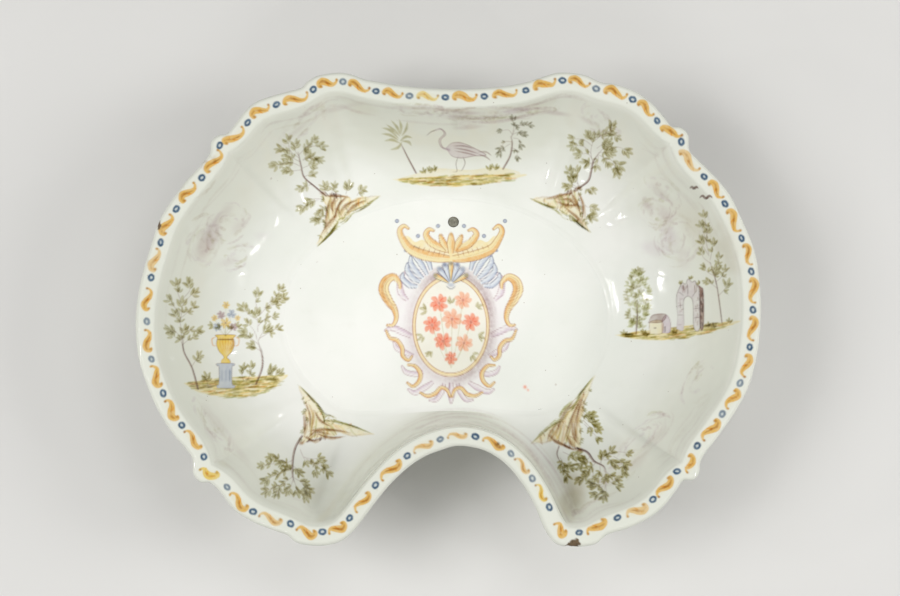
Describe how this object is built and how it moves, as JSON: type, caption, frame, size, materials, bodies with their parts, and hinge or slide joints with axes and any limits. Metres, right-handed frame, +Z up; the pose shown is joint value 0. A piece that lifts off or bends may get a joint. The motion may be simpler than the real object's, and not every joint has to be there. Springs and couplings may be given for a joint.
{
  "type": "barber's basin",
  "caption": "Oval lobed tin-glazed earthenware shaving basin with a neck notch in its front rim, a flat flange and an oval foot ring.",
  "frame": {"origin": "on the table plane, under the centre of the rim's width and depth", "axes": "+X to the right along the long side, +Y to the back, away from the neck notch, +Z up"},
  "size_m": [0.3889, 0.297, 0.088],
  "materials": {
    "biscuit": "fired, porous buff-brown earthenware, matt",
    "painted_glaze": "glossy greenish-white tin glaze, painted in colours",
    "plain_glaze": "glossy greenish-white tin glaze, plain",
    "filler": "grey mineral filler, matt"
  },
  "bodies": {
    "root": {"clay_body": "biscuit", "foot_ring": "biscuit", "glaze_inside": "painted_glaze", "glaze_outside": "plain_glaze", "glaze_under_floor": "plain_glaze", "hole_plug": "filler"}
  },
  "joints": []
}
